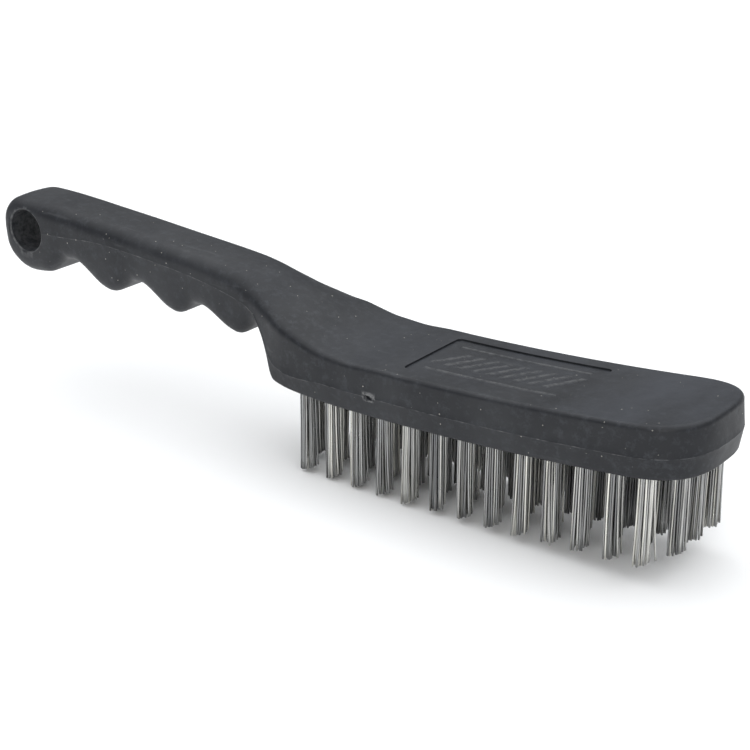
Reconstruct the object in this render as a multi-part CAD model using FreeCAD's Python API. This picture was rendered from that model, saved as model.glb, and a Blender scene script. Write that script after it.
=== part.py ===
import FreeCAD, Part
import math
import os

# Hand wire brush: one moulded plastic handle and block, 55 tufts of steel wire,
# and a flat wire anchor that pins each folded tuft in its hole.
# Millimetres. +X runs from the hang hole to the toe, +Z is up, and the brush stands
# on its wire tips. The origin is under the middle of the bounding box.

V = FreeCAD.Vector

# Overall
LENGTH = 237.6
CAP_INSET = 0.3               # each end stops at a small flat, this far short of its apex
HEEL_X = 10.0                 # lowest point of the curved block, near its heel
ROCKER_RADIUS = 840.0         # side view radius of the block's top and bottom
TIP_RADIUS = 1010.0           # side view radius of the wire tips

# Block
TRIM = 23.94                  # wire tip to block underside at HEEL_X
BLOCK_HEIGHT = 13.8
PARTING_HEIGHT = 5.8          # mould parting line above the underside
BLOCK_HALF_WIDTH = 18.55      # at the parting line
TOP_DRAFT = 0.35              # how far the top edge sits inside the parting line
BOTTOM_DRAFT = 0.8
DRAFT_X = (-14.0, 6.0)        # the draft grows to its full value between these stations
HANDLE_DRAFT = 0.25           # share of the block's draft that the handle has
TOE_ROUND = 20.0              # length of the rounded toe in plan
TOE_POWER = 2.8               # squareness of the rounded toe in plan
TOE_SLOPE_TOP = 0.8           # run of the toe face above and below the parting line
TOE_SLOPE_BOTTOM = 0.8
TOE_TOP_ROUND = 1.4           # side view rounding of the toe's top edge

# Handle
HOLE_RADIUS = 6.35
HOLE_X = -108.1
HOLE_Z = 45.9
HOLE_CHAMFER = 0.7
END_HALF_WIDTH = 10.0
END_PLAN_RADIUS = 4.0
END_TOP_Z = 55.5
END_BOTTOM_Z = 32.6
END_TOP_POWER = 3.6           # how square the rounded end is, above and below its middle
END_BOTTOM_POWER = 2.1
NECK_END_X = 21.0             # the neck starts to blend into the flat block here
NECK_BLEND = 14.0             # and has done so this much further on
LOFT_DEGREE = 8
HANDLE_STEPS = 52
BLOCK_STEPS = 16
CORNER_LIMIT = 0.45           # largest corner radius, as a share of the section's smaller side
SLIMMEST = 0.7                # least top and bottom width, as a share of the width between
PARTING_CLEAR = (0.02, 0.3)   # least height of the side face below and above the parting line

# Label recess and its raised pattern
LABEL_X = (34.2, 80.7)
LABEL_HALF_WIDTH = 12.7
LABEL_DEPTH = 0.5
LABEL_CORNER = 1.5
LABEL_SPARE = 5.0             # the label's cutting tool runs this far past each end
RELIEF_HEIGHT = 0.25
RELIEF_BARS = 9
RELIEF_BAR_WIDTH = 1.6
RELIEF_BAR_REACH = 4.5        # half length across the label
RELIEF_BAR_PITCH = 4.2
RELIEF_BAR_LEAN = 3.0         # how far each bar's far end leans toward the toe
RELIEF_RAIL_Y = 8.0           # a long thin rail either side of the bars
RELIEF_RAIL_WIDTH = 0.9
RELIEF_RAIL_REACH = 19.5

# Gate scar on the near side, on the parting line
GATE_X = 27.8
GATE_RADIUS = 1.3
GATE_DEPTH = 0.5

# Tufts
TUFT_PITCH = 8.48
ROW_FIRST_X = (3.46, -0.78, -0.78, -0.78)
ROW_Y = (-13.19, -4.4, 4.4, 13.19)
ROW_COUNT = (13, 14, 14, 14)
HOLE_DEPTH = 8.5
TUFT_HOLE_RADIUS = 2.25
TUFT_RADIUS = 2.15
TUFT_TIP_RADIUS = 2.4
TUFT_FOLD_RADIUS = 1.4
TUFT_FOLD_GAP = 0.1
TIP_SLANT = 1.2               # handle side wires are this much longer

# Anchors: flat wire across each hole, its ends bedded in the plastic
ANCHOR_LENGTH = 5.7
ANCHOR_THICKNESS = 0.6
ANCHOR_HEIGHT = 1.8
ANCHOR_DROP = 2.2             # anchor top below the hole bottom

# Side view heights (x, z) of the handle, from the hang hole into the block
TOP_LINE = ((-108.1, 55.5), (-79, 54.15), (-51, 52.3), (-28, 50.6), (-19, 48.9), (-11, 46.35),
            (-3, 43.4), (5, 40.5), (13, 38.4), (21, 37.65), (35, 38.26))
BOTTOM_LINE = ((-108.1, 32.6), (-102, 33.3), (-92.4, 39.4), (-89.8, 39.4), (-75, 33.0), (-65, 38.1),
               (-62.8, 38.1), (-49, 32.2), (-41.4, 36.5), (-39.6, 36.5), (-25.6, 31.6), (-17.5, 36.5),
               (-13.5, 33.5), (-11, 29.5), (-8.8, 24.9), (-7.6, 24.15), (-4, 24.05))
PARTING_LINE = ((-108.1, 45.9), (-102, 46.2), (-92, 46.9), (-77, 48.0), (-50, 46.6), (-21.6, 42.6),
                (-16.4, 40.4), (-13.2, 36.6), (-9.6, 31.0), (-6.6, 29.2), (-0.3, 28.6), (15, 29.76))
HALF_WIDTH = ((-120, 10.0), (-59, 10.0), (-39, 10.1), (-27, 10.5), (-19, 11.4), (-13, 13.0),
              (-7, 15.2), (-2, 16.7), (4, 17.7), (10, 18.2), (17, 18.5), (41, 18.55))
TOP_CORNER = ((-120, 4.5), (-34, 4.6), (-19, 5.0), (-11, 4.4), (-4, 3.0), (3, 2.2), (13, 1.8),
              (21, 1.5), (120, 1.4))
BOTTOM_CORNER = ((-120, 4.5), (-17, 4.5), (-11, 2.5), (-7, 1.2), (1, 0.9), (120, 0.9))
CROWN = ((-120, 0.8), (-49, 0.8), (-34, 1.0), (-24, 1.6), (-16, 2.8), (-10, 3.2), (-4, 2.9),
         (2, 1.6), (8, 1.1), (14, 0.5), (21, 0.2), (29, 0.05), (120, 0.05))

TOE_X = LENGTH / 2 + CAP_INSET
END_X = -LENGTH / 2 - CAP_INSET


def smooth(points, x):
    """Height at x on a smooth curve through points that never overshoots them."""
    if x <= points[0][0]:
        return points[0][1]
    if x >= points[-1][0]:
        return points[-1][1]
    steps = [(b[1] - a[1]) / (b[0] - a[0]) for a, b in zip(points, points[1:])]
    slopes = [0.0]
    for a, b in zip(steps, steps[1:]):
        slopes.append(0.0 if a * b <= 0 else 2 * a * b / (a + b))
    slopes.append(0.0)
    i = max(k for k in range(len(steps)) if points[k][0] <= x)
    (x0, z0), (x1, z1) = points[i], points[i + 1]
    run = x1 - x0
    t = (x - x0) / run
    start = z0 * (1 + 2 * t) * (1 - t) ** 2 + slopes[i] * run * t * (1 - t) ** 2
    end = z1 * t * t * (3 - 2 * t) + slopes[i + 1] * run * t * t * (t - 1)
    return start + end


def rocker(x, radius):
    """Rise of a shallow side view arc above its lowest point."""
    return (x - HEEL_X) ** 2 / (2 * radius)


def underside(x):
    return TRIM + rocker(x, ROCKER_RADIUS)


def toe_half_width(x, half, slope):
    """Half width of the rounded toe outline, its apex drawn back by slope."""
    reach = (x - TOE_X + slope + TOE_ROUND) / TOE_ROUND
    reach = min(max(reach, 0), 1)
    return half * (1 - reach ** TOE_POWER) ** (1 / TOE_POWER)


def section_sizes(x):
    """Top, bottom, parting heights, half width, corner radii and crown at station x."""
    flat_top = underside(x) + BLOCK_HEIGHT
    blend = min(max((x - NECK_END_X) / NECK_BLEND, 0), 1)
    top = (1 - blend) * smooth(TOP_LINE, x) + blend * flat_top
    bottom = smooth(BOTTOM_LINE, x) if x < BOTTOM_LINE[-1][0] else underside(x)
    half = smooth(HALF_WIDTH, x)
    if x < HOLE_X:
        reach = (HOLE_X - x) / (HOLE_X - END_X)
        top = HOLE_Z + (END_TOP_Z - HOLE_Z) * math.sqrt(1 - reach ** END_TOP_POWER)
        bottom = HOLE_Z - (HOLE_Z - END_BOTTOM_Z) * math.sqrt(1 - reach ** END_BOTTOM_POWER)
        inset = max(END_PLAN_RADIUS - (x - END_X), 0)
        half += math.sqrt(END_PLAN_RADIUS ** 2 - inset ** 2) - END_PLAN_RADIUS
    parting = smooth(PARTING_LINE, x)
    if x > PARTING_LINE[-1][0]:
        parting = underside(x) + PARTING_HEIGHT
    half = min(half, toe_half_width(x, BLOCK_HALF_WIDTH, 0))
    past = x - (TOE_X - TOE_SLOPE_TOP - TOE_TOP_ROUND)
    if past > 0:
        past = min(past, TOE_TOP_ROUND)
        top -= TOE_TOP_ROUND - math.sqrt(TOE_TOP_ROUND ** 2 - past ** 2)
    top -= (top - parting) * max(0, 1 - (TOE_X - x) / TOE_SLOPE_TOP)
    bottom += (parting - bottom) * max(0, 1 - (TOE_X - x) / TOE_SLOPE_BOTTOM)
    limit = CORNER_LIMIT * min(top - bottom, half)
    top_corner = min(smooth(TOP_CORNER, x), limit)
    bottom_corner = min(smooth(BOTTOM_CORNER, x), limit)
    lowest, highest = bottom + bottom_corner + PARTING_CLEAR[0], top - top_corner - PARTING_CLEAR[1]
    parting = min(max(parting, lowest), highest)
    return top, bottom, parting, half, top_corner, bottom_corner, smooth(CROWN, x)


def section(x):
    """Closed outline of the moulding across station x: a crowned, drafted rounded box."""
    top, bottom, parting, half, top_r, bottom_r, crown = section_sizes(x)
    drafted = min(max((x - DRAFT_X[0]) / (DRAFT_X[1] - DRAFT_X[0]), HANDLE_DRAFT), 1)
    slimmest = half * SLIMMEST
    top_toe = toe_half_width(x, BLOCK_HALF_WIDTH - TOP_DRAFT, TOE_SLOPE_TOP)
    bottom_toe = toe_half_width(x, BLOCK_HALF_WIDTH - BOTTOM_DRAFT, TOE_SLOPE_BOTTOM)
    top_half = max(min(half - TOP_DRAFT * drafted, top_toe), slimmest)
    bottom_half = max(min(half - BOTTOM_DRAFT * drafted, bottom_toe), slimmest)
    flat = top_half - top_r
    shoulder = top - crown * (flat / top_half) ** 2
    edge = math.sqrt(0.5)
    right = [
        (flat, shoulder),
        (flat + top_r * edge, shoulder - top_r * (1 - edge)),
        (top_half, shoulder - top_r),
        (half, parting),
        (bottom_half, bottom + bottom_r),
        (bottom_half - bottom_r * (1 - edge), bottom + bottom_r * (1 - edge)),
        (bottom_half - bottom_r, bottom),
    ]
    r = [V(x, y, z) for y, z in right]
    m = [V(x, -y, z) for y, z in right]
    edges = [
        Part.Arc(m[0], V(x, 0, top), r[0]),
        Part.Arc(r[0], r[1], r[2]),
        Part.LineSegment(r[2], r[3]),
        Part.LineSegment(r[3], r[4]),
        Part.Arc(r[4], r[5], r[6]),
        Part.LineSegment(r[6], m[6]),
        Part.Arc(m[6], m[5], m[4]),
        Part.LineSegment(m[4], m[3]),
        Part.LineSegment(m[3], m[2]),
        Part.Arc(m[2], m[1], m[0]),
    ]
    return Part.Wire([e.toShape() for e in edges])


def loft(xs, ruled=False):
    return Part.makeLoft([section(x) for x in xs], True, ruled, False, LOFT_DEGREE)


def evenly(start, stop, steps):
    return [start + (stop - start) * i / steps for i in range(steps + 1)]


def rounded_stations(apex, reach, angles):
    """Stations crowding toward an apex, from a flat CAP_INSET short of it."""
    side = math.copysign(1, reach)
    curved = [apex + reach * (1 - math.cos(math.radians(a))) for a in angles]
    return [apex + side * CAP_INSET] + curved


def moulding_blank():
    """Handle, neck and block as smooth lofts, with finely stepped rounded ends."""
    end = loft(rounded_stations(END_X, HOLE_X - END_X, (27, 35, 44, 54, 65, 77, 90)), True)
    handle = loft(evenly(HOLE_X, NECK_END_X, HANDLE_STEPS))
    block = loft(evenly(NECK_END_X, TOE_X - TOE_ROUND, BLOCK_STEPS))
    toe = loft(rounded_stations(TOE_X, -TOE_ROUND, (12, 16, 21, 27, 34, 42, 52, 65, 90)), True)
    return end.fuse([handle, block, toe])


def hang_hole():
    """Round hole across the handle end, with a small chamfer at each mouth."""
    out = V(0, 1, 0)
    start = V(HOLE_X, -BLOCK_HALF_WIDTH, HOLE_Z)
    tool = Part.makeCylinder(HOLE_RADIUS, 2 * BLOCK_HALF_WIDTH, start, out)
    inner = END_HALF_WIDTH - HOLE_CHAMFER
    wide = HOLE_RADIUS + 2 * HOLE_CHAMFER
    for side in (-1, 1):
        mouth = V(HOLE_X, side * inner, HOLE_Z)
        cone = Part.makeCone(HOLE_RADIUS, wide, 2 * HOLE_CHAMFER, mouth, out * side)
        tool = tool.fuse(cone)
    return tool


def above_label(depth):
    """Everything above a curved floor this far under the block's top."""
    points = []
    for x in (LABEL_X[0] - LABEL_SPARE, sum(LABEL_X) / 2, LABEL_X[1] + LABEL_SPARE):
        points.append(V(x, -BLOCK_HALF_WIDTH, underside(x) + BLOCK_HEIGHT - depth))
    lid = 2 * BLOCK_HEIGHT + TRIM
    corners = [points[2], V(points[2].x, points[2].y, lid), V(points[0].x, points[0].y, lid), points[0]]
    wire = Part.Wire([Part.Arc(*points).toShape(), Part.makePolygon(corners)])
    return Part.Face(wire).extrude(V(0, 2 * BLOCK_HALF_WIDTH, 0))


def plan_prism(corners):
    """Upright prism through the block from plan corners."""
    loop = [V(x, y, TRIM) for x, y in corners + corners[:1]]
    return Part.Face(Part.makePolygon(loop)).extrude(V(0, 0, 2 * BLOCK_HEIGHT))


def label_tool():
    """Shallow rounded pocket in the block's top, less a raised pattern of slanted bars."""
    x0, x1 = LABEL_X
    outline = plan_prism([(x0, -LABEL_HALF_WIDTH), (x1, -LABEL_HALF_WIDTH),
                          (x1, LABEL_HALF_WIDTH), (x0, LABEL_HALF_WIDTH)])
    uprights = [e for e in outline.Edges if abs(e.tangentAt(e.FirstParameter).z) > 0.9]
    pocket = outline.makeFillet(LABEL_CORNER, uprights).common(above_label(LABEL_DEPTH))
    middle = (x0 + x1) / 2
    half = RELIEF_BAR_WIDTH / 2
    pattern = []
    for i in range(RELIEF_BARS):
        x = middle + (i - (RELIEF_BARS - 1) / 2) * RELIEF_BAR_PITCH
        near, far = x - RELIEF_BAR_LEAN, x + RELIEF_BAR_LEAN
        pattern.append(plan_prism([(near - half, -RELIEF_BAR_REACH), (near + half, -RELIEF_BAR_REACH),
                                   (far + half, RELIEF_BAR_REACH), (far - half, RELIEF_BAR_REACH)]))
    start, stop = middle - RELIEF_RAIL_REACH, middle + RELIEF_RAIL_REACH
    for side in (-1, 1):
        inner, outer = side * RELIEF_RAIL_Y, side * (RELIEF_RAIL_Y + RELIEF_RAIL_WIDTH)
        pattern.append(plan_prism([(start, inner), (stop, inner), (stop, outer), (start, outer)]))
    raised = Part.makeCompound(pattern).cut(above_label(LABEL_DEPTH - RELIEF_HEIGHT))
    return pocket.cut(raised)


def gate_scar():
    """Shallow round pit on the parting line where the plastic entered the mould."""
    ball = (GATE_RADIUS ** 2 + GATE_DEPTH ** 2) / (2 * GATE_DEPTH)
    centre = V(GATE_X, -BLOCK_HALF_WIDTH - ball + GATE_DEPTH, underside(GATE_X) + PARTING_HEIGHT)
    return Part.makeSphere(ball, centre)


def hole_bottom(x):
    return underside(x) + HOLE_DEPTH


def tuft_hole(x, y):
    return Part.makeCylinder(TUFT_HOLE_RADIUS, 2 * HOLE_DEPTH, V(x, y, underside(x) - HOLE_DEPTH))


def anchor(x, y):
    """Flat wire lying along the brush, bridging the tuft hole."""
    z = hole_bottom(x) - ANCHOR_DROP - ANCHOR_HEIGHT
    corner = V(x - ANCHOR_LENGTH / 2, y - ANCHOR_THICKNESS / 2, z)
    return Part.makeBox(ANCHOR_LENGTH, ANCHOR_THICKNESS, ANCHOR_HEIGHT, corner)


def tuft(x, y):
    """Wire bundle: folded over its anchor in the hole, flaring to a slanted tip."""
    tip = rocker(x, TIP_RADIUS)
    mouth = underside(x)
    flare = Part.makeCone(TUFT_TIP_RADIUS, TUFT_RADIUS, mouth - tip, V(x, y, tip))
    rise = HOLE_DEPTH - TUFT_FOLD_GAP
    root = Part.makeCylinder(TUFT_RADIUS, rise, V(x, y, mouth))
    crown = [e for e in root.Edges if e.BoundBox.ZMin > mouth + rise / 2 and e.Closed]
    root = root.makeFillet(TUFT_FOLD_RADIUS, crown[:1])
    r = TUFT_TIP_RADIUS
    below = tip - TIP_SLANT
    slant = [V(x - r, y - r, tip), V(x + r, y - r, tip + TIP_SLANT), V(x + r, y - r, below),
             V(x - r, y - r, below), V(x - r, y - r, tip)]
    wedge = Part.Face(Part.makePolygon(slant)).extrude(V(0, 2 * r, 0))
    return flare.fuse(root).removeSplitter().cut([wedge, anchor(x, y)])


def tuft_places(row):
    """Plan position of every tuft in a row, from the heel to the toe."""
    return [(ROW_FIRST_X[row] + i * TUFT_PITCH, ROW_Y[row]) for i in range(ROW_COUNT[row])]


def save(name, shape):
    shape.exportStep("parts/" + name + ".step")


if __name__ == "__main__":
    os.makedirs("parts", exist_ok=True)
    places = [tuft_places(row) for row in range(len(ROW_Y))]
    flat = [p for row in places for p in row]
    tools = [hang_hole(), label_tool(), gate_scar()]
    tools += [tuft_hole(x, y) for x, y in flat]
    tools += [anchor(x, y) for x, y in flat]
    save("handle_block", moulding_blank().cut(tools))
    for row, spots in enumerate(places, start=1):
        save("anchors_row_%d" % row, Part.makeCompound([anchor(x, y) for x, y in spots]))
        for column, (x, y) in enumerate(spots, start=1):
            save("tuft_r%d_c%02d" % (row, column), tuft(x, y))
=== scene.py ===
import math
import random

import bmesh
import bpy
import numpy as np
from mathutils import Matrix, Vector


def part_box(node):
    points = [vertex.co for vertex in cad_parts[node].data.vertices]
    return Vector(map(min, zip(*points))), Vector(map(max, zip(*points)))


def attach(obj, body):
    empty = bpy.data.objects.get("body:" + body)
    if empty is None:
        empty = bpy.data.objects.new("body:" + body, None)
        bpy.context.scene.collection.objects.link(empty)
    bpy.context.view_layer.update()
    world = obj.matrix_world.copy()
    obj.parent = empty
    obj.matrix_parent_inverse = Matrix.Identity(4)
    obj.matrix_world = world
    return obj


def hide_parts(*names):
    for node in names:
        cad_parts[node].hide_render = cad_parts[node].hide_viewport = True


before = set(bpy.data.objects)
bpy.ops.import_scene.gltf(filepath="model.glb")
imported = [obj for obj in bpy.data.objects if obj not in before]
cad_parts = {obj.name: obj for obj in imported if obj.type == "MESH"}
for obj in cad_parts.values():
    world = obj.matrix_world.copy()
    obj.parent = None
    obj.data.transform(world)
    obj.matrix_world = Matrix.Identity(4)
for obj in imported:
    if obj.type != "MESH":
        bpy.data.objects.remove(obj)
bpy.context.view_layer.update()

MM = 0.001

# Camera: the viewing angle, distance and lens of the picture
CAMERA_AT = Vector((269.4, -334.1, 202.3)) * MM
CAMERA_AZIMUTH = 37.2
CAMERA_ELEVATION = 22.67
CAMERA_LENS = 81.65

# Wires
WIRE_RADIUS = 0.27 * MM
WIRE_SIDES = 7
LEG_RINGS = 7
FOLD_RINGS = 6
PACKING = 0.64 * MM           # spacing of wires across a tuft at its mouth
TUFT_RADIUS = 2.15 * MM
TUFT_HOLE_RADIUS = 2.25
HOLE_DEPTH = 8.5 * MM
TIP_SLANT = 2.1 * MM
ROW_COUNT = (13, 14, 14, 14)
TUFT_LEAN = 0.12              # typical sideways reach at the tip, in millimetres
WIRE_LEAN = 0.17
WIRE_BOW = 0.10
WIRE_KINK = 0.035
TIP_SPREAD = 0.35
STRAY_CHANCE = 0.025
STRAY_LEAN = 1.1

# Light from the surroundings: brighter behind the object than in front of it
WORLD_BRIGHT_SIDE = (-0.2, 0.95, 0.1)
WORLD_SPAN = (-0.6, 0.8)      # facing values between which it grows from dim to bright
WORLD_DIM = 0.12
WORLD_BRIGHT = 0.34
OVERHEAD = 3.4
OVERHEAD_ANGLE = 110

# Moulding: the same driving dimensions as the CAD part, in millimetres
LENGTH = 237.6
CAP_INSET = 0.3
HEEL_X = 10.0
ROCKER_RADIUS = 840.0
TRIM = 23.94
BLOCK_HEIGHT = 13.8
PARTING_HEIGHT = 5.8
BLOCK_HALF_WIDTH = 18.55
TOP_DRAFT = 0.35
BOTTOM_DRAFT = 0.8
TOE_ROUND = 20.0
TOE_POWER = 2.8
TOE_SLOPE_TOP = 0.8
TOE_SLOPE_BOTTOM = 0.8
HOLE_RADIUS = 6.35
HOLE_X = -108.1
HOLE_Z = 45.9
HOLE_LIP = 0.8
END_HALF_WIDTH = 10.0
END_PLAN_RADIUS = 4.0
END_TOP_Z = 55.5
END_BOTTOM_Z = 32.6
NECK_END_X = 21.0
TOP_LINE = ((-108.1, 55.5), (-79, 54.15), (-51, 52.3), (-28, 50.6), (-19, 48.9), (-11, 46.35),
            (-3, 43.4), (5, 40.5), (13, 38.4), (21, 37.65), (35, 38.26))
BOTTOM_LINE = ((-108.1, 32.6), (-102, 33.3), (-92.4, 39.4), (-89.8, 39.4), (-75, 33.0), (-65, 38.1),
               (-62.8, 38.1), (-49, 32.2), (-41.4, 36.5), (-39.6, 36.5), (-25.6, 31.6), (-17.5, 36.5),
               (-13.5, 33.5), (-11, 29.5), (-8.8, 24.9), (-7.6, 24.15), (-4, 24.05))
PARTING_LINE = ((-108.1, 45.9), (-102, 46.2), (-92, 46.9), (-77, 48.0), (-50, 46.6), (-21.6, 42.6),
                (-16.4, 40.4), (-13.2, 36.6), (-9.6, 31.0), (-6.6, 29.2), (-0.3, 28.6), (15, 29.76))
HALF_WIDTH = ((-120, 10.0), (-59, 10.0), (-39, 10.1), (-27, 10.5), (-19, 11.4), (-13, 13.0),
              (-7, 15.2), (-2, 16.7), (4, 17.7), (10, 18.2), (17, 18.5), (41, 18.55))
TOP_CORNER = ((-120, 4.5), (-34, 4.6), (-19, 5.0), (-11, 4.4), (-4, 3.0), (3, 2.2), (13, 1.8),
              (21, 1.5), (120, 1.4))
BOTTOM_CORNER = ((-120, 4.5), (-17, 4.5), (-11, 2.5), (-7, 1.2), (1, 0.9), (120, 0.9))
CROWN = ((-120, 0.8), (-49, 0.8), (-34, 1.0), (-24, 1.6), (-16, 2.8), (-10, 3.2), (-4, 2.9),
         (2, 1.6), (8, 1.1), (14, 0.5), (21, 0.2), (29, 0.05), (120, 0.05))
TOE_X = LENGTH / 2 + CAP_INSET
END_X = -LENGTH / 2 - CAP_INSET
FAN_X = TOE_X - 14.0          # columns fan round this point at the toe

# Label recess, its raised pattern and the gate scar
LABEL_X = (34.2, 80.7)
LABEL_HALF_WIDTH = 12.7
LABEL_DEPTH = 0.5
LABEL_CORNER = 1.5
RELIEF_HEIGHT = 0.25
RELIEF_BARS = 9
RELIEF_BAR_WIDTH = 1.6
RELIEF_BAR_REACH = 4.5
RELIEF_BAR_PITCH = 4.2
RELIEF_BAR_LEAN = 3.0
RELIEF_RAIL_Y = 8.0
RELIEF_RAIL_WIDTH = 0.9
RELIEF_RAIL_REACH = 19.5
GATE_X = 27.8

# Parting line flash
FLASH_HALF = 0.16
FLASH_PROUD = 0.11
FLASH_ON_HANDLE = 0.4         # share of that height along the handle
FLASH_FULL_X = (-20, 0)       # it grows to its full height between these

# Shape of the moulding's sections
END_TOP_POWER = 3.6           # how square the rounded end is, above and below its middle
END_BOTTOM_POWER = 2.1
NECK_BLEND = 14.0             # length of the neck's blend into the flat block
CORNER_LIMIT = 0.45           # largest corner radius, as a share of the section's smaller side
PARTING_CLEAR = (0.02, 0.3)   # least height of the side face below and above the parting line
HANDLE_DRAFT = 0.25           # share of the block's draft that the handle has
DRAFT_X = (-14, 6)            # the draft grows to its full value between these
CROWN_LIMIT = 0.3             # highest crown, as a share of the section's height
TOE_CROWN = 0.05
STATION_PITCH = 0.55
FAN_STEPS = 36
SHARP_ANGLE = 38

# Gate scar: an oval rim round a torn slit
RIM_SIZE = (1.5, 0.85)
RIM_THICKNESS = 0.26
SLIT_SIZE = (1.15, 0.42)
SLIT_DEPTH = 0.8
SLIT_LEAN = -30

# Label mesh
LABEL_GRID = (230, 120)
BAR_SOFTNESS = 0.4
RAIL_SOFTNESS = 0.35
LABEL_LID = 60.0

# How much paler the plastic is drawn: whitened flash, the raised pattern, a painted highlight on the
# hang hole's lip and a painted sheen in its bore
PALE_RIDGE = 0.8
LIP_PAINTED_HIGHLIGHT = 0.5
BORE_PAINTED_SHEEN = 0.3
PALE_RELIEF = 0.35


def camera():
    data = bpy.data.cameras.new("camera")
    data.lens = CAMERA_LENS
    data.sensor_width = 36
    data.clip_start = 0.01
    thing = bpy.data.objects.new("camera", data)
    bpy.context.collection.objects.link(thing)
    thing.location = CAMERA_AT
    thing.rotation_euler = (math.radians(90 - CAMERA_ELEVATION), 0, math.radians(CAMERA_AZIMUTH))
    bpy.context.scene.camera = thing


def area_light(name, at, aim, size, power, colour=(1, 1, 1)):
    data = bpy.data.lights.new(name, "AREA")
    data.shape = "RECTANGLE"
    data.size, data.size_y = size
    data.energy = power
    data.color = colour
    thing = bpy.data.objects.new(name, data)
    bpy.context.collection.objects.link(thing)
    thing.location = at
    thing.rotation_euler = (Vector(aim) - Vector(at)).to_track_quat("-Z", "Y").to_euler()


def studio():
    bpy.context.scene.view_settings.view_transform = "Standard"
    world = bpy.data.worlds.new("studio")
    bpy.context.scene.world = world
    world.use_nodes = True
    tree = world.node_tree
    place = tree.nodes.new("ShaderNodeTexCoord").outputs["Generated"]
    facing = tree.nodes.new("ShaderNodeVectorMath")
    facing.operation = "DOT_PRODUCT"
    facing.inputs[1].default_value = WORLD_BRIGHT_SIDE
    tree.links.new(place, facing.inputs[0])
    spread = tree.nodes.new("ShaderNodeMapRange")
    spread.interpolation_type = "SMOOTHSTEP"
    tree.links.new(facing.outputs["Value"], spread.inputs["Value"])
    spread.inputs["From Min"].default_value = WORLD_SPAN[0]
    spread.inputs["From Max"].default_value = WORLD_SPAN[1]
    spread.inputs["To Min"].default_value = WORLD_DIM
    spread.inputs["To Max"].default_value = WORLD_BRIGHT
    tree.links.new(spread.outputs["Result"], tree.nodes["Background"].inputs["Strength"])
    tree.nodes["Background"].inputs["Color"].default_value = (0.96, 0.98, 1.0, 1)
    overhead = bpy.data.lights.new("overhead", "SUN")
    overhead.energy = OVERHEAD
    overhead.angle = math.radians(OVERHEAD_ANGLE)
    overhead.color = (0.97, 0.985, 1.0)
    bpy.context.collection.objects.link(bpy.data.objects.new("overhead", overhead))
    area_light("front_softbox", (0.35, -0.9, 0.40), (0.02, 0, 0.02), (0.5, 0.4), 2.7, (1.0, 0.98, 0.95))
    mesh = bpy.data.meshes.new("floor")
    s = 6.0
    mesh.from_pydata([(-s, -s, 0), (s, -s, 0), (s, s, 0), (-s, s, 0)], [], [(0, 1, 2, 3)])
    floor = bpy.data.objects.new("floor", mesh)
    bpy.context.collection.objects.link(floor)
    mat = bpy.data.materials.new("pale_floor")
    mat.use_nodes = True
    shader = mat.node_tree.nodes["Principled BSDF"]
    shader.inputs["Base Color"].default_value = (0.94, 0.94, 0.94, 1)
    shader.inputs["Roughness"].default_value = 0.85
    shader.inputs["Specular IOR Level"].default_value = 0.1
    mesh.materials.append(mat)


class Nodes:
    """Small helper to build a material's node tree."""

    def __init__(self, name):
        self.mat = bpy.data.materials.new(name)
        self.mat.use_nodes = True
        self.tree = self.mat.node_tree
        self.shader = self.tree.nodes["Principled BSDF"]
        self.coords = self.tree.nodes.new("ShaderNodeTexCoord").outputs["Object"]

    def add(self, kind, inputs=None, **settings):
        node = self.tree.nodes.new(kind)
        for key, value in settings.items():
            setattr(node, key, value)
        for key, value in (inputs or {}).items():
            if hasattr(value, "is_output"):
                self.tree.links.new(value, node.inputs[key])
            else:
                node.inputs[key].default_value = value
        return node

    def stretched(self, scale):
        return self.add("ShaderNodeMapping", {"Vector": self.coords, "Scale": scale}).outputs["Vector"]

    def noise(self, scale, detail=4, rough=0.6, stretch=(1, 1, 1)):
        node = self.add("ShaderNodeTexNoise", {"Vector": self.stretched(stretch), "Scale": scale,
                                               "Detail": detail, "Roughness": rough})
        return node.outputs["Fac"]

    def ramp(self, fac, stops):
        node = self.add("ShaderNodeValToRGB", {"Fac": fac})
        ramp = node.color_ramp
        while len(ramp.elements) < len(stops):
            ramp.elements.new(0.5)
        for element, (place, colour) in zip(ramp.elements, stops):
            element.position = place
            element.color = colour if len(colour) == 4 else (*colour, 1)
        return node.outputs["Color"]

    def spread(self, fac, low, high, start=0.0, end=1.0):
        node = self.add("ShaderNodeMapRange", {"Value": fac, "From Min": low, "From Max": high,
                                               "To Min": start, "To Max": end})
        return node.outputs["Result"]

    def mix(self, fac, a, b):
        node = self.add("ShaderNodeMix", data_type="RGBA")
        self.tree.links.new(fac, node.inputs[0])
        for slot, value in ((6, a), (7, b)):
            if hasattr(value, "is_output"):
                self.tree.links.new(value, node.inputs[slot])
            else:
                node.inputs[slot].default_value = (*value, 1)
        return node.outputs[2]

    def math(self, operation, a, b):
        node = self.add("ShaderNodeMath", {0: a, 1: b}, operation=operation)
        return node.outputs[0]

    def finish(self, colour=None, roughness=None, height=None, strength=0.3, distance=0.0002):
        link = self.tree.links.new
        if colour is not None:
            link(colour, self.shader.inputs["Base Color"])
        if roughness is not None:
            link(roughness, self.shader.inputs["Roughness"])
        if height is not None:
            bump = self.add("ShaderNodeBump", {"Height": height, "Strength": strength,
                                               "Distance": distance})
            link(bump.outputs["Normal"], self.shader.inputs["Normal"])
        return self.mat


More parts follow.
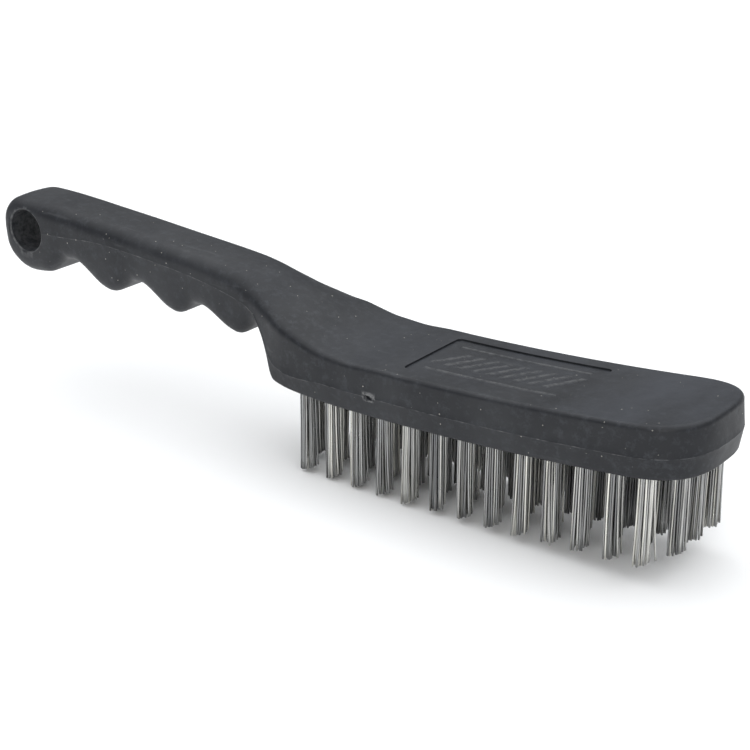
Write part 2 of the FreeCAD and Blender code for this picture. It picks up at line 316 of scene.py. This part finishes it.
def plastic():
    n = Nodes("moulded_black_plastic")
    blotch = n.noise(26, 5, 0.6)
    flow = n.noise(30, 3, 0.5, (1.6, 0.45, 0.6))
    tone = n.math("MULTIPLY", blotch, flow)
    base = n.ramp(tone, [(0.14, (0.0070, 0.0080, 0.0110)), (0.36, (0.0195, 0.0210, 0.0245))])
    fine = n.noise(420, 4, 0.75)
    base = n.mix(n.spread(fine, 0.50, 0.70, 0, 0.50), base, (0.040, 0.044, 0.052))
    scratch = n.noise(260, 3, 0.6, (0.12, 1.0, 1.0))
    base = n.mix(n.spread(scratch, 0.66, 0.74, 0, 0.30), base, (0.075, 0.078, 0.082))
    normal = n.add("ShaderNodeNewGeometry").outputs["Normal"]
    up = n.add("ShaderNodeSeparateXYZ", {"Vector": normal}).outputs["Z"]
    # Bluish paler film on upward faces, stronger towards the block: partly dust, partly a painted sheen
    # of the overhead light on the tops.
    dust_and_sheen_patches = n.spread(n.noise(34, 4, 0.55, (1.0, 0.5, 1.0)), 0.36, 0.62)
    top_dust_and_sheen = n.math("MULTIPLY", n.spread(up, 0.75, 1.0), dust_and_sheen_patches)
    along = n.add("ShaderNodeSeparateXYZ", {"Vector": n.coords}).outputs["X"]
    top_dust_and_sheen = n.math("MULTIPLY", top_dust_and_sheen, n.spread(along, -0.03, 0.09, 0.15, 1.0))
    base = n.mix(n.math("MULTIPLY", top_dust_and_sheen, 0.75), base, (0.038, 0.042, 0.052))
    cells = n.add("ShaderNodeTexVoronoi", {"Vector": n.coords, "Scale": 500, "Randomness": 1.0},
                  feature="F1")
    pick = n.add("ShaderNodeSeparateColor", {"Color": cells.outputs["Color"]}).outputs["Red"]
    size = n.spread(pick, 0.30, 1.0, 0.0, 0.115)
    edge = n.spread(n.noise(2600, 2, 0.5), 0.3, 0.7, -0.02, 0.02)
    ragged = n.math("ADD", cells.outputs["Distance"], edge)
    speck = n.spread(n.math("SUBTRACT", size, ragged), 0.0, 0.02)
    place = n.noise(22, 2, 0.5)
    speck = n.math("MULTIPLY", speck, n.spread(place, 0.42, 0.50))
    colour = n.mix(speck, base, (0.30, 0.29, 0.265))
    pale = n.add("ShaderNodeAttribute", attribute_name="pale").outputs["Fac"]
    # Paler where the pale attribute is set: whitened flash and gate scar, the raised pattern, and a
    # painted highlight and painted sheen at the hang hole.
    wear_and_painted_sheen = n.math("MULTIPLY", pale, n.spread(n.noise(700, 3, 0.6), 0.35, 0.6))
    colour = n.mix(wear_and_painted_sheen, colour, (0.15, 0.152, 0.155))
    rough = n.spread(n.noise(70, 6, 0.7), 0.3, 0.7, 0.40, 0.58)
    grain = n.math("ADD", n.noise(1500, 3, 0.6), n.math("MULTIPLY", n.noise(240, 3, 0.5), 0.7))
    n.shader.inputs["Specular IOR Level"].default_value = 0.34
    return n.finish(colour, rough, grain, 0.22, 0.00007)


def wire_steel():
    n = Nodes("drawn_steel_wire")
    tone = n.add("ShaderNodeAttribute", attribute_name="tone").outputs["Fac"]
    shades = [(0.0, (0.18, 0.183, 0.187)), (0.55, (0.42, 0.424, 0.420)), (1.0, (0.80, 0.79, 0.73))]
    base = n.ramp(tone, shades)
    streak = n.noise(900, 3, 0.6, (1, 1, 0.06))
    stained = n.mix(n.spread(streak, 0.48, 0.78), base, (0.17, 0.165, 0.15))
    rough = n.spread(n.noise(500, 4, 0.7, (1, 1, 0.2)), 0.3, 0.7, 0.24, 0.44)
    n.shader.inputs["Metallic"].default_value = 1.0
    return n.finish(stained, rough, streak, 0.3, 0.00004)


def leg_places(rng):
    """Loosely hexagonal wire places across one tuft, on the +Y side of its anchor."""
    places = []
    rows = int(TUFT_RADIUS / PACKING) + 1
    for j in range(rows):
        y = (j + 0.62) * PACKING * 0.9
        for i in range(-rows - 1, rows + 2):
            x = (i + 0.5 * (j % 2)) * PACKING
            if math.hypot(x, y) < TUFT_RADIUS - WIRE_RADIUS * 0.8:
                jitter = 0.1 * PACKING
                places.append((x + rng.uniform(-jitter, jitter), y + rng.uniform(-jitter, jitter)))
    return places


def tube(points, verts, faces, radius):
    """Adds a wire along points, with flat cut ends."""
    start = len(verts)
    side = Vector((1, 0, 0))
    count = len(points)
    for k, p in enumerate(points):
        along = (points[min(k + 1, count - 1)] - points[max(k - 1, 0)]).normalized()
        across = (side - along * side.dot(along)).normalized()
        other = along.cross(across)
        for s in range(WIRE_SIDES):
            a = 2 * math.pi * s / WIRE_SIDES
            verts.append(p + across * (radius * math.cos(a)) + other * (radius * math.sin(a)))
    for k in range(count - 1):
        for s in range(WIRE_SIDES):
            t = (s + 1) % WIRE_SIDES
            a = start + k * WIRE_SIDES
            faces.append((a + s, a + t, a + WIRE_SIDES + t, a + WIRE_SIDES + s))
    faces.append(tuple(start + s for s in reversed(range(WIRE_SIDES))))
    last = start + (count - 1) * WIRE_SIDES
    faces.append(tuple(last + s for s in range(WIRE_SIDES)))


def leg(rng, x, y, mouth, tip, lean):
    """Points down one leg from the hole mouth to its tip, in the tuft's own frame."""
    flare = 1.10 + rng.uniform(-0.03, 0.06)
    bow = Vector((rng.gauss(0, WIRE_BOW), rng.gauss(0, WIRE_BOW), 0)) * MM
    kink = Vector((rng.gauss(0, WIRE_KINK), rng.gauss(0, WIRE_KINK), 0)) * MM
    points = []
    for k in range(LEG_RINGS + 1):
        t = k / LEG_RINGS
        grow = 1 + (flare - 1) * t
        p = Vector((x * grow, y * grow, mouth + (tip - mouth) * t))
        p += (bow + lean) * t * t + kink * math.sin(math.pi * t)
        points.append(p)
    return points


def wires(name, material, rng):
    """All the folded wires of one tuft."""
    low, high = (Vector(c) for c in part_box(name))
    centre = (low + high) / 2
    mouth = high.z + 0.1 * MM - HOLE_DEPTH
    verts, faces, tones = [], [], []
    lean_all = Vector((rng.gauss(0, TUFT_LEAN), rng.gauss(0, TUFT_LEAN), 0)) * MM
    for x, y in leg_places(rng):
        legs = []
        for side in (1, -1):
            slant = TIP_SLANT * (x + TUFT_RADIUS) / (2 * TUFT_RADIUS)
            tip = low.z + slant + abs(rng.gauss(0, TIP_SPREAD)) * MM
            lean = lean_all + Vector((rng.gauss(0, WIRE_LEAN), rng.gauss(0, WIRE_LEAN), 0)) * MM
            if rng.random() < STRAY_CHANCE:
                stray = [rng.uniform(-STRAY_LEAN, STRAY_LEAN) for _ in range(2)]
                lean += Vector((*stray, 0)) * MM
            legs.append(leg(rng, x, side * y, mouth, tip, lean))
        spring = high.z - WIRE_RADIUS - TUFT_RADIUS * 0.95
        fold = []
        for k in range(FOLD_RINGS + 1):
            a = math.pi * k / FOLD_RINGS
            fold.append(Vector((x, y * math.cos(a), spring + y * math.sin(a))))
        path = [p for p in reversed(legs[0])] + fold + legs[1]
        before = len(verts)
        tube([p + Vector((centre.x, centre.y, 0)) for p in path], verts, faces, WIRE_RADIUS)
        tone = min(max(rng.gauss(0.48, 0.28), 0), 1)
        tones += [tone] * (len(verts) - before)
    mesh = bpy.data.meshes.new(name + "_wires")
    mesh.from_pydata(verts, [], faces)
    layer = mesh.attributes.new("tone", "FLOAT", "POINT")
    layer.data.foreach_set("value", tones)
    for poly in mesh.polygons:
        poly.use_smooth = len(poly.vertices) == 4
    mesh.materials.append(material)
    thing = bpy.data.objects.new(name + "_wires", mesh)
    bpy.context.collection.objects.link(thing)
    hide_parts(name)
    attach(thing, "root")


def smooth(points, x):
    """Height at x on a smooth curve through points that never overshoots them."""
    if x <= points[0][0]:
        return points[0][1]
    if x >= points[-1][0]:
        return points[-1][1]
    steps = [(b[1] - a[1]) / (b[0] - a[0]) for a, b in zip(points, points[1:])]
    slopes = [0.0]
    for a, b in zip(steps, steps[1:]):
        slopes.append(0.0 if a * b <= 0 else 2 * a * b / (a + b))
    slopes.append(0.0)
    i = max(k for k in range(len(steps)) if points[k][0] <= x)
    (x0, z0), (x1, z1) = points[i], points[i + 1]
    run = x1 - x0
    t = (x - x0) / run
    start = z0 * (1 + 2 * t) * (1 - t) ** 2 + slopes[i] * run * t * (1 - t) ** 2
    end = z1 * t * t * (3 - 2 * t) + slopes[i + 1] * run * t * t * (t - 1)
    return start + end


def underside(x):
    return TRIM + (x - HEEL_X) ** 2 / (2 * ROCKER_RADIUS)


def parting_height(x):
    return smooth(PARTING_LINE, x) if x < PARTING_LINE[-1][0] else underside(x) + PARTING_HEIGHT


def toe_outline(x):
    reach = min(max((x - TOE_X + TOE_ROUND) / TOE_ROUND, 0), 1)
    return BLOCK_HALF_WIDTH * (1 - reach ** TOE_POWER) ** (1 / TOE_POWER)


def flash(x, y):
    """How far the parting line flash stands proud here: it comes and goes."""
    wave = math.sin(0.37 * x + 1.3) + math.sin(0.83 * x + 0.11 * y) + math.sin(1.9 * x + 0.4)
    start, stop = FLASH_FULL_X
    faint = FLASH_ON_HANDLE + (1 - FLASH_ON_HANDLE) * min(max((x - start) / (stop - start), 0), 1)
    return FLASH_PROUD * faint * (0.55 + 0.15 * wave)


def column(top_at, bottom_at, parting, reach, drafts, corners, crown, seam):
    """Half outline from the top's middle round to the bottom's middle, as (distance, height).

    top_at and bottom_at give the surface heights at a distance out from the middle."""
    top_r, bottom_r = corners
    top_reach, bottom_reach = reach - drafts[0], reach - drafts[1]
    fall = 2 * crown / top_reach
    lean = math.atan(fall)
    flat = top_reach - top_r * (1 - math.sin(lean))
    drop = crown * (flat / top_reach) ** 2
    points = []
    for k in range(11):
        d = flat * k / 10
        points.append((d, top_at(d) - crown * (d / top_reach) ** 2))
    cy = flat - top_r * math.sin(lean)
    cz = top_at(flat) - drop - top_r * math.cos(lean)
    for k in range(1, 10):
        a = math.radians(90) - lean - (math.radians(90) - lean) * k / 9
        points.append((cy + top_r * math.cos(a), cz + top_r * math.sin(a)))
    y0, z0 = points[-1]
    upper = min(parting + FLASH_HALF, z0 - 0.01)
    for k in range(1, 5):
        t = k / 4
        points.append((y0 + (reach - y0) * t, z0 + (upper - z0) * t))
    points.append((reach + seam, upper - FLASH_HALF))
    lower = upper - 2 * FLASH_HALF
    low = bottom_at(bottom_reach - bottom_r)
    for k in range(5):
        t = k / 4
        points.append((reach + (bottom_reach - reach) * t, lower + (low + bottom_r - lower) * t))
    for k in range(1, 7):
        a = math.radians(90) * k / 6
        points.append((bottom_reach - bottom_r + bottom_r * math.cos(a),
                       low + bottom_r - bottom_r * math.sin(a)))
    for k in range(1, 5):
        d = (bottom_reach - bottom_r) * (1 - k / 4)
        points.append((d, bottom_at(d)))
    return points


def station(x):
    """Column straight across at x, and the heights that it runs between."""
    flat_top = underside(x) + BLOCK_HEIGHT
    blend = min(max((x - NECK_END_X) / NECK_BLEND, 0), 1)
    top = (1 - blend) * smooth(TOP_LINE, x) + blend * flat_top
    bottom = smooth(BOTTOM_LINE, x) if x < BOTTOM_LINE[-1][0] else underside(x)
    half = min(smooth(HALF_WIDTH, x), toe_outline(x))
    if x < HOLE_X:
        out = (HOLE_X - x) / (HOLE_X - END_X)
        top = HOLE_Z + (END_TOP_Z - HOLE_Z) * (1 - out ** END_TOP_POWER) ** 0.5
        bottom = HOLE_Z - (HOLE_Z - END_BOTTOM_Z) * (1 - out ** END_BOTTOM_POWER) ** 0.5
        inset = max(END_PLAN_RADIUS - (x - END_X), 0)
        half += math.sqrt(max(END_PLAN_RADIUS ** 2 - inset ** 2, 0)) - END_PLAN_RADIUS
    parting = parting_height(x)
    limit = CORNER_LIMIT * min(top - bottom, half)
    corners = min(smooth(TOP_CORNER, x), limit), min(smooth(BOTTOM_CORNER, x), limit)
    drafted = min(max((x - DRAFT_X[0]) / (DRAFT_X[1] - DRAFT_X[0]), HANDLE_DRAFT), 1)
    low, high = bottom + corners[1] + PARTING_CLEAR[0], top - corners[0] - PARTING_CLEAR[1]
    parting = min(max(parting, low), max(high, low))
    crown = min(smooth(CROWN, x), CROWN_LIMIT * (top - bottom))
    return column(lambda d: top, lambda d: bottom, parting, half,
                  (TOP_DRAFT * drafted, BOTTOM_DRAFT * drafted), corners, crown, flash(x, half))


def toe_reach(angle):
    """Distance from the fan point to the toe outline in this direction."""
    near, far = 1.0, 40.0
    for _ in range(40):
        r = (near + far) / 2
        x, y = FAN_X + r * math.cos(angle), r * math.sin(angle)
        inside = x < TOE_X and y < toe_outline(x)
        near, far = (r, far) if inside else (near, r)
    return near


def fan(angle):
    c = math.cos(angle)
    share = c * c
    drafts = (TOP_DRAFT + (TOE_SLOPE_TOP - TOP_DRAFT) * share,
              BOTTOM_DRAFT + (TOE_SLOPE_BOTTOM - BOTTOM_DRAFT) * share)
    reach = toe_reach(angle)
    return column(lambda d: underside(FAN_X + d * c) + BLOCK_HEIGHT, lambda d: underside(FAN_X + d * c),
                  underside(FAN_X + reach * c) + PARTING_HEIGHT, reach, drafts,
                  (smooth(TOP_CORNER, TOE_X), smooth(BOTTOM_CORNER, TOE_X)), TOE_CROWN,
                  flash(FAN_X + reach * c, reach * math.sin(angle)))


def moulding():
    """Closed skin of the moulding, before any holes, in metres."""
    xs = [END_X + (HOLE_X - END_X) * (1 - math.cos(math.radians(a))) for a in range(4, 90, 3)]
    count = round((FAN_X - HOLE_X) / STATION_PITCH)
    xs += [HOLE_X + (FAN_X - HOLE_X) * i / count for i in range(count + 1)]
    verts, faces = [], []
    loops = []
    for x in xs:
        half = station(x)
        start = len(verts)
        verts += [(x, -d, z) for d, z in half]
        verts += [(x, d, z) for d, z in reversed(half[1:-1])]
        loops.append(start)
    per = len(verts) // len(xs)
    rows = len(half)
    for a, b in zip(loops, loops[1:]):
        for k in range(per):
            n = (k + 1) % per
            faces.append((a + k, a + n, b + n, b + k))
    faces.append(tuple(loops[0] + k for k in reversed(range(per))))
    last = loops[-1]
    steps = FAN_STEPS
    previous = [last + k for k in range(rows)]
    final = [last] + [last + per - k for k in range(1, rows - 1)] + [last + rows - 1]
    for s in range(1, steps + 1):
        if s == steps:
            current = final
        else:
            a = math.pi / 2 - math.pi * s / steps
            side = fan(abs(a))
            side_verts = [(FAN_X + d * math.cos(a), -d * math.sin(a), z) for d, z in side]
            start = len(verts)
            verts += side_verts[1:-1]
            current = [last] + [start + k for k in range(rows - 2)] + [last + rows - 1]
        for k in range(rows - 1):
            quad = [previous[k], previous[k + 1], current[k + 1], current[k]]
            face = []
            for v in quad:
                if v not in face:
                    face.append(v)
            faces.append(tuple(face))
        previous = current
    return new_mesh("moulding", verts, faces)


def new_mesh(name, verts, faces):
    """Mesh object from millimetre points, with its normals outward."""
    mesh = bpy.data.meshes.new(name)
    mesh.from_pydata([(x * MM, y * MM, z * MM) for x, y, z in verts], [], faces)
    work = bmesh.new()
    work.from_mesh(mesh)
    bmesh.ops.recalc_face_normals(work, faces=work.faces)
    work.to_mesh(mesh)
    work.free()
    thing = bpy.data.objects.new(name, mesh)
    bpy.context.collection.objects.link(thing)
    return thing


def turned(verts, faces, profile, place, sides=64):
    """Adds a closed solid of revolution about a line along Y: profile is (y, radius)."""
    start = len(verts)
    for y, r in profile:
        for s in range(sides):
            a = 2 * math.pi * s / sides
            verts.append((place[0] + r * math.cos(a), y, place[1] + r * math.sin(a)))
    for k in range(len(profile) - 1):
        for s in range(sides):
            n = (s + 1) % sides
            a = start + k * sides
            faces.append((a + s, a + n, a + sides + n, a + sides + s))
    end = start + (len(profile) - 1) * sides
    faces.append(tuple(start + s for s in range(sides)))
    faces.append(tuple(end + s for s in reversed(range(sides))))


def hole_cutter():
    """Hang hole with softly rounded mouths."""
    profile = []
    for k in range(9):
        a = math.radians(90) * k / 8
        profile.append((END_HALF_WIDTH - 0.12 - HOLE_LIP + HOLE_LIP * math.sin(a),
                        HOLE_RADIUS + HOLE_LIP * (1 - math.cos(a))))
    profile.append((END_HALF_WIDTH + 5, HOLE_RADIUS + HOLE_LIP))
    profile = [(-y, r) for y, r in reversed(profile)] + profile
    verts, faces = [], []
    turned(verts, faces, profile, (HOLE_X, HOLE_Z), 96)
    return new_mesh("hole_cutter", verts, faces)


def soft_step(edge, soft):
    t = min(max(0.5 + edge / soft, 0), 1)
    return t * t * (3 - 2 * t)


def relief(x, y):
    """Height of the label's raised pattern: slanted bars between two rails."""
    middle = sum(LABEL_X) / 2
    best = 0
    for i in range(RELIEF_BARS):
        lean = RELIEF_BAR_LEAN * y / RELIEF_BAR_REACH
        bar = middle + (i - (RELIEF_BARS - 1) / 2) * RELIEF_BAR_PITCH + lean
        inside = min(RELIEF_BAR_WIDTH / 2 - abs(x - bar), RELIEF_BAR_REACH - abs(y))
        best = max(best, soft_step(inside, BAR_SOFTNESS))
    rail = RELIEF_RAIL_Y + RELIEF_RAIL_WIDTH / 2
    inside = min(RELIEF_RAIL_WIDTH / 2 - abs(abs(y) - rail), RELIEF_RAIL_REACH - abs(x - middle))
    return RELIEF_HEIGHT * max(best, soft_step(inside, RAIL_SOFTNESS))


def label_cutter():
    """Block of air over the label, its underside carrying the raised pattern."""
    x0, x1 = LABEL_X
    nx, ny = LABEL_GRID
    verts, faces = [], []
    for i in range(nx + 1):
        for j in range(ny + 1):
            u, v = x0 + (x1 - x0) * i / nx, LABEL_HALF_WIDTH * (2 * j / ny - 1)
            cx = min(max(u, x0 + LABEL_CORNER), x1 - LABEL_CORNER)
            cy = min(max(v, LABEL_CORNER - LABEL_HALF_WIDTH), LABEL_HALF_WIDTH - LABEL_CORNER)
            s, t = (u - cx) / LABEL_CORNER, (v - cy) / LABEL_CORNER
            x = cx + LABEL_CORNER * s * math.sqrt(1 - t * t / 2)
            y = cy + LABEL_CORNER * t * math.sqrt(1 - s * s / 2)
            verts.append((x, y, underside(x) + BLOCK_HEIGHT - LABEL_DEPTH + relief(x, y)))
    for i in range(nx):
        for j in range(ny):
            a = i * (ny + 1) + j
            faces.append((a, a + 1, a + ny + 2, a + ny + 1))
    rim = [i * (ny + 1) for i in range(nx)] + [nx * (ny + 1) + j for j in range(ny)]
    rim += [i * (ny + 1) + ny for i in range(nx, 0, -1)] + list(range(ny, 0, -1))
    lid = len(verts)
    verts += [(verts[v][0], verts[v][1], LABEL_LID) for v in rim]
    for k in range(len(rim)):
        n = (k + 1) % len(rim)
        faces.append((rim[k], rim[n], lid + n, lid + k))
    faces.append(tuple(lid + k for k in range(len(rim))))
    return new_mesh("label_cutter", verts, faces)


def tuft_cutters():
    """Blind holes under the block, one for each tuft."""
    verts, faces = [], []
    for row, count in enumerate(ROW_COUNT, start=1):
        for c in range(1, count + 1):
            low, high = (Vector(p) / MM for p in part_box("tuft_r%d_c%02d" % (row, c)))
            x, y = (low.x + high.x) / 2, (low.y + high.y) / 2
            start = len(verts)
            sides = 24
            for z in (underside(x) - 3, underside(x) + HOLE_DEPTH / MM):
                for s in range(sides):
                    a = 2 * math.pi * s / sides
                    verts.append((x + TUFT_HOLE_RADIUS * math.cos(a),
                                  y + TUFT_HOLE_RADIUS * math.sin(a), z))
            for s in range(sides):
                n = (s + 1) % sides
                faces.append((start + s, start + n, start + sides + n, start + sides + s))
            faces.append(tuple(start + s for s in reversed(range(sides))))
            faces.append(tuple(start + sides + s for s in range(sides)))
    return new_mesh("tuft_cutters", verts, faces)


def gate_ring(rng):
    """Ragged raised rim round the gate scar."""
    verts, faces = [], []
    steps, sides = 44, 8
    z0 = underside(GATE_X) + PARTING_HEIGHT
    for i in range(steps):
        a = 2 * math.pi * i / steps
        thick = RIM_THICKNESS * (1 + rng.uniform(-0.35, 0.35))
        wobble = 1 + rng.uniform(-0.06, 0.06)
        for s in range(sides):
            b = 2 * math.pi * s / sides
            out = thick * math.cos(b)
            verts.append((GATE_X + (RIM_SIZE[0] * wobble + out) * math.cos(a),
                          0.12 - BLOCK_HALF_WIDTH - thick * math.sin(b),
                          z0 + (RIM_SIZE[1] * wobble + out) * math.sin(a)))
    for i in range(steps):
        for s in range(sides):
            n, t = (i + 1) % steps, (s + 1) % sides
            faces.append((i * sides + s, n * sides + s, n * sides + t, i * sides + t))
    return new_mesh("gate_ring", verts, faces)


def gate_pit(rng):
    """Torn slit where the sprue broke away."""
    verts, faces = [], []
    rings, sides = 10, 22
    z0 = underside(GATE_X) + PARTING_HEIGHT
    lean = math.radians(SLIT_LEAN)
    for i in range(1, rings):
        a = math.pi * i / rings
        for s in range(sides):
            b = 2 * math.pi * s / sides
            rough = 1 + rng.uniform(-0.16, 0.16)
            u = SLIT_SIZE[0] * math.sin(a) * math.cos(b) * rough
            v = SLIT_SIZE[1] * math.sin(a) * math.sin(b) * rough
            verts.append((GATE_X + u * math.cos(lean) - v * math.sin(lean),
                          -BLOCK_HALF_WIDTH - SLIT_DEPTH * math.cos(a),
                          z0 + u * math.sin(lean) + v * math.cos(lean)))
    for i in range(rings - 2):
        for s in range(sides):
            t = (s + 1) % sides
            faces.append((i * sides + s, i * sides + t, (i + 1) * sides + t, (i + 1) * sides + s))
    faces.append(tuple(s for s in reversed(range(sides))))
    faces.append(tuple((rings - 2) * sides + s for s in range(sides)))
    return new_mesh("gate_pit", verts, faces)


def combine(thing, other, operation):
    """Applies one boolean to a mesh object and removes the other object."""
    boolean = thing.modifiers.new(operation.lower(), "BOOLEAN")
    boolean.operation = operation
    boolean.solver = "EXACT"
    boolean.object = other
    graph = bpy.context.evaluated_depsgraph_get()
    mesh = bpy.data.meshes.new_from_object(thing.evaluated_get(graph), depsgraph=graph)
    thing.modifiers.clear()
    thing.data = mesh
    bpy.data.objects.remove(other)


def mark_pale(mesh):
    """Stores where the plastic is drawn paler: whitened flash and gate scar, the raised pattern, a
    painted highlight on the hang hole's lip and a painted sheen in its bore.
    """
    place = np.empty(len(mesh.vertices) * 3)
    mesh.vertices.foreach_get("co", place)
    x, y, z = place.reshape(-1, 3).T / MM
    line = np.array([parting_height(v) for v in x])
    from_hole = np.hypot(x - HOLE_X, z - HOLE_Z) - HOLE_RADIUS
    patchy = 0.5 + 0.5 * np.sin(0.9 * x) * np.sin(0.31 * x + 2)
    ridge = PALE_RIDGE * (np.abs(z - line) < 0.06) * (from_hole > HOLE_LIP) * patchy
    gate_z = underside(GATE_X) + PARTING_HEIGHT
    span = np.hypot((x - GATE_X) / RIM_SIZE[0], (z - gate_z) / RIM_SIZE[1])
    scar = (y < 0.35 - BLOCK_HALF_WIDTH) * (span > 0.7) * (span < 1.35)
    mouth = np.abs(y) > END_HALF_WIDTH - HOLE_LIP
    # Painted highlight on the hang hole's rounded lip.
    lip_highlight = LIP_PAINTED_HIGHLIGHT * mouth * (from_hole > 0.1) * (from_hole < 0.75 * HOLE_LIP)
    # Painted sheen inside the hang hole's bore.
    bore_sheen = BORE_PAINTED_SHEEN * (np.abs(y) < END_HALF_WIDTH - HOLE_LIP) * (np.abs(from_hole) < 0.1)
    on_top = z > underside(x) + BLOCK_HEIGHT - LABEL_DEPTH + 0.3 * RELIEF_HEIGHT
    near_middle = np.abs(x - sum(LABEL_X) / 2) < RELIEF_RAIL_REACH + 3
    on_label = on_top * near_middle * (np.abs(y) < RELIEF_RAIL_Y + 2)
    raised = np.array([PALE_RELIEF * relief(u, v) / RELIEF_HEIGHT if hit else 0
                       for u, v, hit in zip(x, y, on_label)])
    pale = np.clip(np.max([ridge, scar, lip_highlight, bore_sheen, raised], axis=0), 0, 1)
    mesh.attributes.new("pale", "FLOAT", "POINT").data.foreach_set("value", pale)


def handle():
    rng = random.Random(3)
    thing = moulding()
    combine(thing, gate_ring(rng), "UNION")
    for cutter in (gate_pit(rng), hole_cutter(), label_cutter(), tuft_cutters()):
        combine(thing, cutter, "DIFFERENCE")
    thing.name = "handle_moulding"
    mesh = thing.data
    mesh.name = "handle_moulding"
    mark_pale(mesh)
    mesh.shade_smooth()
    mesh.set_sharp_from_angle(angle=math.radians(SHARP_ANGLE))
    mesh.materials.clear()
    mesh.materials.append(plastic())
    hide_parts("handle_block")
    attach(thing, "root")


def set_material(name, material):
    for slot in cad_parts[name].material_slots:
        slot.material = material


camera()
studio()
handle()
steel = wire_steel()
rng = random.Random(7)
for row, count in enumerate(ROW_COUNT, start=1):
    for column_number in range(1, count + 1):
        wires("tuft_r%d_c%02d" % (row, column_number), steel, rng)
    set_material("anchors_row_%d" % row, steel)
